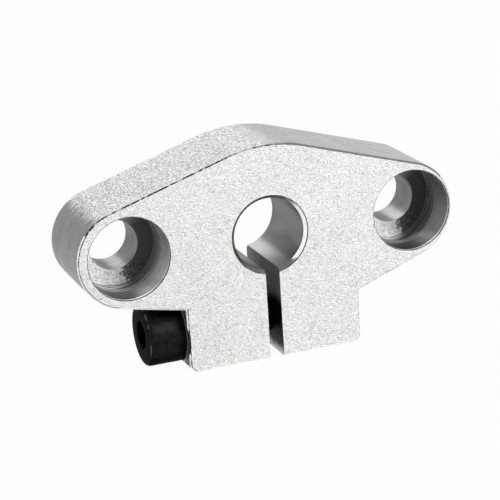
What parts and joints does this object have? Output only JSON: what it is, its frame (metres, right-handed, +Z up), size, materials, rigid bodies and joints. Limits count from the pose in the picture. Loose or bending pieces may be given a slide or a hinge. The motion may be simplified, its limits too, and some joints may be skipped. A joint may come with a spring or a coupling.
{
  "type": "shaft support block",
  "caption": "Flange-type shaft support block: a split aluminium block with a chamfered shaft bore, recessed mounting holes in its wings and a cap screw that clamps its foot.",
  "frame": {"origin": "on the axis of the shaft bore, at the middle of the block's thickness", "axes": "+Y along the shaft, from the front face with the recesses to the flat back face that is bolted down; +Z up from the split foot to the crown; +X along the wings, with the screw head at -X"},
  "size_m": [0.043, 0.01, 0.024],
  "materials": {
    "aluminium_block": "bead-blasted aluminium with machined bore and recesses",
    "black_oxide_steel": "black oxide on alloy steel"
  },
  "bodies": {
    "block": {"support_block": "aluminium_block"},
    "screw": {"clamp_screw": "black_oxide_steel"}
  },
  "joints": [
    {"name": "clamp_screw_turn", "type": "hinge", "parent": "block", "child": "screw", "pos_m": [-0.00975, 0, -0.01045], "axis": [1, 0, 0], "range_deg": [-450, 0]}
  ]
}
